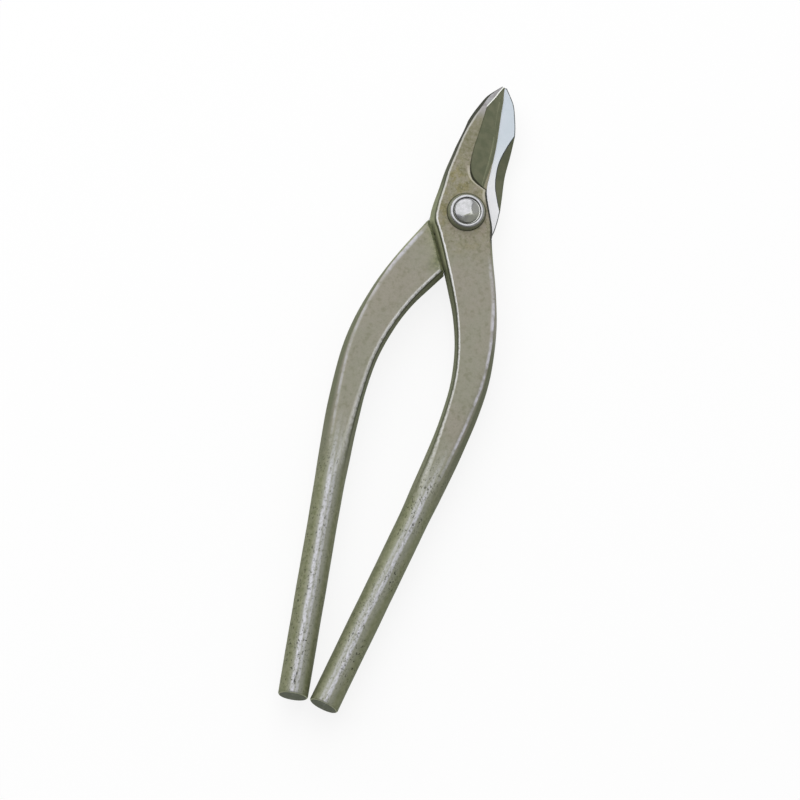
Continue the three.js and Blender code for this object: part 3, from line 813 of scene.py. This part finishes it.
    # The shoulder's pale arris, worn and also a painted highlight, the point facet with a painted highlight
    # along its edge, the pits with a cold seam at one handle's end, and the filed end faces, darkened with
    # painted shade, with a painted highlight on their round
    top = (1 - wall) * flat
    ground = top * point.rise(0.02, 0.3)
    pits = start.noise(0.8, 2, (1, 1.5, 1), (3, 5, 7)).rise(0.60, 0.66)
    pits = pits * start.noise(22, 2, shift=(9, 2, 4)).rise(0.38, 0.58) * (0.1 + 0.9 * handle)
    seam = x.band(-0.0093, 0.0002, 0.0003) * y.band(-0.2310, 0.0018, 0.0016) * z.rise(0.0, 0.012)
    pits = pits.larger(seam * streaks.rise(0.3, 0.5))
    colour = colour.painted([
        # A painted highlight on the shoulder's arris
        (top * right.band(0.55, 0.3, 0.8) * y.band(0.0140, 0.0045, 0.004) * 0.6, (196, 192, 178)),
        (top * point.rise(-1.6, 0.0) * 0.75, (160, 158, 160)),
        (ground * 0.9, mottle.rise(0.35, 0.65).tint((126, 122, 124), (150, 150, 152))),
        # A painted highlight along the point facet's edge
        (ground * right.band(0.2, 0.15, 0.25), (214, 216, 210)),
        (pits * 0.85, (58, 60, 46)),
        # A painted highlight on the end's round and painted shade on its face
        (end.band(0.4, 0.15, 0.1), (158, 162, 134)),
        (end.rise(0.6, 0.9), (76, 82, 60)),
    ])
    roughness = 0.54 + 0.10 * mottle - 0.14 * arris_wear_and_highlight - 0.10 * wear_and_highlight + 0.2 * pits - 0.12 * ground + 0.25 * wall
    metallic = 0.5 - 0.5 * wall - 0.3 * soft_arris_wear_and_highlight
    metal(start, colour, roughness, metallic, 0.45 * grain + 0.5 * mottle - 0.9 * pits, 0.05)
    return material


def ground_bevel():
    """The bevel and the hollow behind the lap face: ground on a fine wheel, with a dark olive base colour
    that is painted shade, the dark that these tilted faces reflect, faint marks of the wheel across the
    blade, a painted line of shade under the ridge, painted shade along the shoulder at the throat and a
    paler land at the throat. The lower half is a little darker."""
    material, start = new_finish("ground_bevel")
    throat = start.position()[1].fall(0.018, 0.028)
    lines = start.noise(0.25, 2, (14, 1, 14))
    clouds = start.noise(3.0, 4)
    # The dark olive base, the line under the ridge and the line along the shoulder at the throat are painted
    # shade
    colour = clouds.rise(0.3, 0.7).tint((108, 113, 90), (122, 124, 100)).painted([
        (lines.rise(0.4, 0.8) * 0.15, (134, 136, 116)),
        (start.mask("ridge_run").fall(0.15, 0.6) * (0.5 + 0.45 * throat), (58, 60, 42)),
        (start.mask("land_run").fall(-0.12, 0.02) * 0.8, (160, 154, 132)),
        (start.mask("throat_run").fall(1.9, 2.5) * throat * 0.9, (48, 50, 36)),
        ((1 - start.mask("upper_half")) * 0.22, (48, 50, 36)),
    ])
    metal(start, colour, 0.45 + 0.06 * clouds, 0.6, lines, 0.006)
    return material


def polished_lap():
    """The hard steel's inner face, ground flat and polished on a stone along the blade: bluish towards the
    tip, whiter at the rivet, with a dark line of painted shade where its back edge is broken."""
    material, start = new_finish("polished_lap")
    to_tip = start.position()[1].rise(0.012, 0.042)
    lines = start.noise(0.16, 2, (1, 30, 1))
    clouds = start.noise(5, 3)
    colour = to_tip.tint((192, 192, 194), (165, 173, 180)).painted([
        (clouds.rise(0.35, 0.75) * 0.3, (176, 179, 187)),
        # The broken back edge is painted dark, a line of painted shade
        (start.mask("broken_edge").rise(0.0, 0.3) * 0.95, (66, 72, 66)),
    ])
    metal(start, colour, 0.26 + 0.08 * lines, 0.6, lines, 0.003)
    return material


skin_finish = forged_skin()
bevel_finish = ground_bevel()
lap_finish = polished_lap()

# On faces that a cutter leaves there is no arris near
cut_masks = {
    "left_edge": -4.0, "right_edge": -4.0, "ridge_run": far_run, "land_run": far_run, "throat_run": far_run,
    "point": off_point, "wall_scale_and_shade": 0.1, "handle": 0.0, "side_shade": 0.0, "around": 0.0, "end": 0.0, "kept": 1.0,
}


def masked(mesh, masks):
    """Stores masks in a mesh, as one number or an array of the points' numbers each."""
    for name, values in masks.items():
        values = np.broadcast_to(np.ravel(values), len(mesh.vertices)).astype(np.float32)
        mesh.attributes.new(name, "FLOAT", "POINT").data.foreach_set("value", values)
    return mesh


def filled(mesh):
    """Gives the points that a cut has made, which come with empty masks, the mean of their neighbours'."""
    ends = np.empty(len(mesh.edges) * 2, np.int32)
    mesh.edges.foreach_get("vertices", ends)
    ends = ends.reshape(-1, 2)
    both_ways = np.vstack([ends, ends[:, ::-1]])
    table = np.empty((len(cut_masks), len(mesh.vertices)), np.float32)
    for values, name in zip(table, cut_masks):
        mesh.attributes[name].data.foreach_get("value", values)
    known = table[list(cut_masks).index("kept")] > 0.5
    while not known.all():
        empty, source = both_ways[~known[both_ways[:, 0]] & known[both_ways[:, 1]]].T
        if len(empty) == 0:
            break
        total, count = np.zeros_like(table), np.zeros(len(known))
        np.add.at(total.T, empty, table[:, source].T)
        np.add.at(count, empty, 1)
        table = np.where(count > 0, total / np.maximum(count, 1), table).astype(np.float32)
        known |= count > 0
    for values, name in zip(table, cut_masks):
        mesh.attributes[name].data.foreach_set("value", np.ascontiguousarray(values))
    return mesh


def forged_blank(phase, fullness):
    """The forging before its lap side is cut, with its masks and the finish of each face."""
    ring, place, masks, ground = forged_rings(phase, fullness)
    mesh = masked(facing_out(skin("blank", ring)), masks)
    for finish in (skin_finish, bevel_finish):
        mesh.materials.append(finish)
    middle_place = (place + np.append(place[1:], place[-1] + 0.1)) / 2
    on_bevel = (middle_place > 1.0) & (middle_place < 3.0)
    rows_ground = np.append(ground[:-1] & ground[1:], np.zeros(len(ring) - len(ground), bool))
    index = (rows_ground[:, None] & on_bevel[None]).astype(int)
    mesh.polygons.foreach_set("material_index", np.append(index.ravel(), [0, 0]))
    return mesh


def lap_cutter(name, radius, outline, bottom, top):
    """A cutter made of an outline and a disc joined. Its flat ends leave lap steel, its sides iron."""
    plates = [facing_out(prism(name, border, bottom, top)) for border in (outline, circle * radius)]
    for mesh in plates:
        mesh.materials.append(lap_finish)
        mesh.materials.append(skin_finish)
        upright = np.array([abs(face.normal.z) < 0.5 for face in mesh.polygons])
        mesh.polygons.foreach_set("material_index", upright.astype(int))
        masked(mesh, cut_masks)
    return combined(plates[0], "UNION", plates[1])


def points_of(mesh):
    """The mesh's points as rows of x, y and z."""
    points = np.empty(len(mesh.vertices) * 3, np.float32)
    mesh.vertices.foreach_get("co", points)
    return points.reshape(-1, 3)


# Two forgings are never quite even: both lean a little to the left of the rivet, blade and arm alike
lean = 0.68
lean_start = 4.0
lean_full = 30.0


def leaning(mesh):
    """Moves points to the left by the lean, times a smooth step of their distance from the pivot."""
    points = points_of(mesh)
    share = (np.hypot(points[:, 0], points[:, 1]) / mm - lean_start) / (lean_full - lean_start)
    share = np.clip(share, 0, 1)
    points[:, 0] -= lean * mm * share ** 2 * (3 - 2 * share)
    mesh.vertices.foreach_set("co", points.ravel())


def distance_to(line, points):
    """Shortest distance from points to a line, taken at the line's own closely spaced points."""
    return np.linalg.norm(points[:, None] - line[None], axis=2).min(axis=1)


crevice_reach = 2.2


def crevice_dirt_and_fill_light_mask(mesh):
    """Stores how near each point lies to the other arm's line, on the lap side alone: a mask for a dirt
    tint and painted fill light in the shaded slot beside that arm. It falls off as an exponential of the
    distance."""
    points = points_of(mesh)
    near = np.exp(-distance_to(wall_line, points[:, :2]) / crevice_reach) * (points[:, 2] < -1)
    return masked(mesh, {"crevice_dirt_and_fill_light": near})


def broken_edge(mesh):
    """Insets the lap face by a narrow ring and lowers the ring's outer border along the blade's back
    and the heel, where the edge is broken with a stone. The cutting edge stays sharp."""
    with edited(mesh) as work:
        mask = work.verts.layers.float.new("broken_edge")
        lap = [face for face in work.faces
               if face.normal.z < -0.99 and face.calc_center_median().z < lap_gap]
        bmesh.ops.inset_region(work, faces=lap, thickness=edge_break, use_even_offset=True, use_boundary=True)
        inner = {vertex for face in lap for vertex in face.verts}
        border = [vertex for vertex in work.verts if vertex.co.z < lap_gap and vertex not in inner]
        back_line = smooth_line(stations[:, 0:2], np.linspace(0, heel_station + 2, 900))
        places = np.array([vertex.co.xy[:] for vertex in border])
        near = (distance_to(back_line, places) < 0.2) | (distance_to(relief_border, places) < 0.2)
        for vertex, on_back in zip(border, near):
            if on_back:
                vertex.co.z += edge_break
                vertex[mask] = 1.0
    return mesh


def finished(mesh, name, turned_over):
    """Puts a mesh in its place, in metres, on the lap plane, turned over about the length for the back,
    with sharp corners kept and flat faces shaded flat."""
    place = Matrix.Translation((0, 0, lap_height * mm)) @ Matrix.Scale(mm, 4)
    if turned_over:
        place = place @ Matrix.Rotation(math.pi, 4, "Y")
    mesh.transform(place)
    with edited(mesh) as work:
        bmesh.ops.remove_doubles(work, verts=work.verts, dist=0.004 * mm)
        bmesh.ops.dissolve_degenerate(work, edges=work.edges, dist=0.002 * mm)
    mesh.name = name
    mesh.shade_smooth()
    mesh.set_sharp_from_angle(angle=math.radians(33))
    piece = in_scene(name, mesh)
    weights = piece.modifiers.new("flat_faces", "WEIGHTED_NORMAL")
    weights.keep_sharp = True
    weights.weight = 60
    return piece


bore_radius = 4.58
blade_side = np.array([[-beyond, 0], [beyond, 0], [beyond, beyond], [-beyond, beyond]], float)
recess_cutter = lap_cutter("recess", recess_radius, recess_outline, below, lap_gap / 2)
pocket_cutter = lap_cutter("pocket", recess_radius, blade_side, below, steel_thickness)
plate_space = lap_cutter("plate", recess_radius - plate_clearance, blade_side, lap_gap / 2, steel_thickness)
bore_cutter = facing_out(prism("bore", circle * bore_radius, below, -below))
masked(bore_cutter, cut_masks).materials.append(lap_finish)
ease_cutter = facing_out(skin("ease", ease_rings))
masked(ease_cutter, cut_masks).materials.append(skin_finish)

# The halves differ as two forgings made by hand do: in the hammer's waves, how full the blade's back
# is, and how steep the hollow is at the throat
for side_name, phase, fullness, throat_slope, turned_over in (
        ("front", 0.4, 0.55, 0.2, False), ("back", 2.9, 0.1, 0.8, True)):
    relief_cutter = facing_out(skin("relief", relief_rings(throat_slope)))
    masked(relief_cutter, cut_masks).materials.append(bevel_finish)
    blank = forged_blank(phase, fullness)
    plate_blank = blank.copy()
    iron = combined(blank, "DIFFERENCE", recess_cutter, ease_cutter, pocket_cutter, relief_cutter,
                    bore_cutter)
    steel = combined(plate_blank, "INTERSECT", plate_space)
    steel = combined(steel, "DIFFERENCE", relief_cutter, bore_cutter)
    for cut in (iron, steel):
        masked(cut, {"upper_half": float(not turned_over)})
    half = finished(crevice_dirt_and_fill_light_mask(filled(iron)), side_name + "_forging", turned_over)
    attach(half, side_name)
    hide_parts(side_name + "_half")
    plate = finished(broken_edge(filled(steel)), side_name + "_steel_plate", turned_over)
    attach(plate, side_name)
    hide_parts(side_name + "_cutting_steel")
    leaning(half.data)
    leaning(plate.data)

# The rivet and its collars
# A soft steel rivet is closed over a dished, turned collar on each side. Its heads are hammered into
# low domes and brightened, and the lower one is filed flat where the snips lie on the bench.
collar_base_radius = 8.5
collar_rim_radius = 7.45
collar_height = 2.6
collar_gap = 0.15
collar_foot = 0.35
collar_taper = 0.05
rim_width = 1.2
rim_shift = 0.2
centred_radius = 5.8
dish_depth = 0.9
dish_taper = 0.15
rivet_radius = 4.5
head_radius = 5.6
head_side = 0.7
head_rise = 1.2
head_gap = 0.12
head_corner = 0.25
flat_radius = 3.0
collar_lift = half_thickness + collar_gap
head_base = collar_lift + collar_height - dish_depth + head_gap
head_shoulder = head_base + head_side
dome_top = head_shoulder + head_rise


def turned(radii, heights, steps=144):
    """A profile of radii and heights turned about the pivot axis."""
    turn = np.linspace(0, 2 * math.pi, steps, endpoint=False)
    return np.stack([radii[:, None] * np.cos(turn), radii[:, None] * np.sin(turn),
                     np.repeat(heights[:, None], steps, axis=1)], axis=-1)


def toward(rings, bearing):
    """How far points lie out from the pivot axis towards a bearing in degrees."""
    angle = math.radians(bearing)
    return rings[..., 0] * math.cos(angle) + rings[..., 1] * math.sin(angle)


def hammered_bright():
    """Turned and hammered bright steel, with dark olive dirt and painted shade in the groove and down the
    collar's side, and painted light on the right side.
    """
    material, start = new_finish("hammered_bright")
    dirt_and_shade = start.mask("dirt_and_shade")
    clouds = start.noise(2.2, 3)
    grain = start.noise(0.4, 2)
    colour = clouds.rise(0.35, 0.7).tint((162, 162, 165), (148, 149, 150)).painted([
        (start.mask("painted_light") * 0.9, (172, 173, 168)),
        (dirt_and_shade * (0.85 + 0.3 * grain), (128, 131, 104)),
    ])
    metal(start, colour, 0.15 + 0.06 * clouds + 0.4 * dirt_and_shade, 0.85 - 0.6 * dirt_and_shade, 0.4 * grain + clouds, 0.008)
    return material


bright_finish = hammered_bright()

# The collar's profile with its corners rounded: up the bore's lower part, out under the base, up the
# cone, over the rim, down into the dish and back to the bore
dish_radius = collar_rim_radius - rim_width
dish_floor = collar_height - dish_depth
half_bore = 0.8
collar_corners = [
    [bore_radius, half_bore], [bore_radius, 0.0], [collar_base_radius, 0.0],
    [collar_base_radius - collar_taper, collar_foot], [collar_rim_radius, collar_height],
    [dish_radius, collar_height], [dish_radius - dish_taper, dish_floor], [bore_radius, dish_floor],
    [bore_radius, half_bore],
]
collar_radii = [0.1, 0.08, 0.12, 0.55, 0.5, 0.2, 0.1]
profile, places = rounded(np.array(collar_corners)[None], np.array(collar_radii)[None], 5,
                          [[0, 0.08, 0.5, 0.92, 1]] * (len(collar_corners) - 1))
radii, heights = profile[0].T
in_dish = np.interp(places, [4.9, 5.6], [0, 1])[:, None]
on_cone = np.interp(places, [1.9, 2.1, 3.75, 4.0], [0, 1, 1, 0])[:, None]

for side_name, turned_over in (("front", False), ("back", True)):
    rings = turned(radii, heights + collar_lift)
    turn = np.linspace(0, 2 * math.pi, rings.shape[1], endpoint=False)

    # Both rims are turned a little off centre, to the right as the snips lie
    rim_share = np.clip(heights / collar_height, 0, 1) * (radii > centred_radius)
    rings[..., 0] += rim_shift * (-1 if turned_over else 1) * rim_share[:, None]
    # Dirt and painted shade in the dish, most on the low side, and on the cone; painted light on the dish's
    # right side
    shaded_side = 0.05 + 0.5 * np.clip(np.cos(turn - math.radians(235)), 0, 1)
    mesh = masked(skin("collar", rings, capped=False), {
        "dirt_and_shade": in_dish * shaded_side * 0.9 + on_cone * (0.85 + 0.15 * shaded_side),
        "painted_light": in_dish * np.clip(np.cos(turn), 0, 1)})
    mesh.materials.append(bright_finish)
    with edited(mesh) as work:
        bmesh.ops.remove_doubles(work, verts=work.verts, dist=0.0005)
    washer = finished(facing_out(mesh), side_name + "_dished_collar", turned_over)
    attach(washer, "back")
    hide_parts(side_name + "_collar")


def head_profile(flat):
    """Radii and heights of a rivet head: a first ring near the axis, a low dome from the flat's edge
    out, whose radius grows with the cosine of its arc to the power 0.8, a short side, and the underside
    in to the shank. A head without a flat starts at its pole."""
    arc = np.linspace(math.pi / 2, 0.12, 40)[0 if flat else 1:]
    dome = [flat + (head_radius - flat) * np.cos(arc) ** 0.8, head_shoulder + head_rise * np.sin(arc)]
    foot = [[head_radius, head_radius, head_radius - head_corner, rivet_radius],
            [head_shoulder, head_base + head_corner, head_base, head_base]]
    return np.hstack([[[flat * 0.35 if flat else 0.02], [dome_top]], dome, foot])


low_head, top_head = head_profile(flat_radius), head_profile(0.0)
radii, heights = np.hstack([low_head * [[1], [-1]], top_head[:, ::-1]])
rings = turned(radii, heights)

# Flat blows of the hammer on the upper head: the dome is cut down to planes, each given by its bearing
# from the picture's level, its fall, where it starts and how far it lies below the dome's top
picture_turn = 17.8
blows = [(150, 0.07, -0.3, 0.10), (10, 0.25, 1.9, 0.0), (-78, 0.29, 2.2, 0.0), (75, 0.20, 3.4, 0.0),
         (200, 0.24, 3.6, 0.0)]
for bearing, fall, start_at, drop in blows:
    plane = dome_top - drop - fall * (toward(rings, bearing + picture_turn) - start_at)
    cut = np.maximum(np.minimum(rings[..., 2], plane), head_shoulder)
    rings[..., 2] = np.where(rings[..., 2] > head_shoulder, cut, rings[..., 2])

# Dirt and painted shade round the foot of the head and on the facet at its low side, a painted line of shade
# above that facet, and painted light on the head's right side
low_bearing = -54
on_top = rings[..., 2] > 0
out = toward(rings, low_bearing)
dirt_and_shade = np.clip(1 - (np.abs(rings[..., 2]) - head_base) / 0.7, 0, 1)
dirt_and_shade = np.maximum(dirt_and_shade, 0.35 * np.clip((out - 2.4) / 0.3, 0, 1) * on_top)
shade_line = np.exp(-((out - 2.15) / 0.2) ** 2) * (np.abs(toward(rings, low_bearing + 90) + 0.6) < 1.5) * on_top
painted_light = np.clip((toward(rings, -5) - 1.2) / 1.0, 0, 1)
mesh = masked(facing_out(skin("rivet", rings)), {"dirt_and_shade": np.maximum(dirt_and_shade, shade_line), "painted_light": painted_light})
mesh.materials.append(bright_finish)
rivet = finished(mesh, "domed_rivet", False)
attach(rivet, "back")
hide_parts("pivot_rivet")

# The bench, the light and the camera
# A plain white bench under one large soft lamp, and a camera that looks down on the handles' side.
bench_half = 6.0
floor_mesh = bpy.data.meshes.new("bench")
floor_mesh.from_pydata([(x * bench_half, y * bench_half, 0) for x, y in ((-1, -1), (1, -1), (1, 1), (-1, 1))],
                       [], [(0, 1, 2, 3)])
floor = in_scene("bench", floor_mesh)
floor_white = 0.85
floor_material, start = new_finish("bench_white")
shaded = start.node("BsdfDiffuse", None, {"Color": (0.97, 0.97, 0.97, 1)})
white = start.node("Emission", None, {"Color": (1, 1, 1, 1), "Strength": 1.0})
seen = sum(start.node("LightPath", output=ray)
           for ray in ("Is Camera Ray", "Is Glossy Ray", "Is Transmission Ray"))
start.node("OutputMaterial", None, {"Surface": start.node("MixShader", None, {
    0: seen.smaller(1.0) * floor_white, 1: shaded, 2: white})})
floor_mesh.materials.append(floor_material)

# The room is plain grey, a little lighter to the right of the camera and darker below it
room_grey = 0.46
right_share = 0.22
above_share = 0.14
camera_roll = math.radians(17.77)
picture_right = (math.cos(camera_roll), math.sin(camera_roll), 0)
picture_up = (-math.sin(camera_roll), math.cos(camera_roll), 0)
world = bpy.data.worlds.new("studio")
world.use_nodes = True
world.node_tree.nodes.clear()
start = Field(world.node_tree)
sky = start.node("TexCoord", output="Generated")
across, along = (start.node("VectorMath", {"operation": "DOT_PRODUCT"}, {0: sky, 1: way}, "Value")
                 for way in (picture_right, picture_up))
start.node("OutputWorld", None, {"Surface": start.node("Background", None, {
    "Color": (1, 1, 1, 1), "Strength": room_grey + right_share * across + above_share * along})})
bpy.context.scene.world = world

# One large softbox stands over the upper left, out of the camera's sight
lamp_size = 3.6
lamp_distance = 2.4
lamp_radiance = 1.7
lamp_lean = math.radians(42)
lamp_bearing = math.radians(45)
lamp_data = bpy.data.lights.new("softbox", "AREA")
lamp_data.shape = "SQUARE"
lamp_data.size = lamp_size
lamp_data.energy = lamp_radiance * math.pi * lamp_size ** 2
lamp = in_scene("softbox", lamp_data)
lamp.matrix_world = (
    Matrix.Rotation(lamp_bearing, 4, "Z") @ Matrix.Rotation(-lamp_lean, 4, "X")
    @ Matrix.Translation((0, 0, lamp_distance)) @ Matrix.Rotation(camera_roll - lamp_bearing, 4, "Z"))
lamp.visible_camera = False

# The camera looks at the middle of the picture from its distance along the line of sight
elevation = math.radians(74.2)
lens = 1200.0
frame_width = 0.3595
target = np.array([-2.64, -91.36, lap_height]) * mm
line_of_sight = np.array([0, -math.cos(elevation), math.sin(elevation)])
level_right = np.array([1.0, 0, 0])
level_up = np.cross(line_of_sight, level_right)
camera_data = bpy.data.cameras.new("camera")
camera_data.lens = lens
distance = frame_width / 2 / (camera_data.sensor_width / 2 / lens)
place = np.eye(4)
place[:3] = np.column_stack([
    level_right * math.cos(camera_roll) + level_up * math.sin(camera_roll),
    level_up * math.cos(camera_roll) - level_right * math.sin(camera_roll),
    line_of_sight, target + line_of_sight * distance])
camera = in_scene("camera", camera_data)
camera.matrix_world = Matrix(place.tolist())
bpy.context.scene.camera = camera
bpy.context.scene.view_settings.view_transform = "Standard"
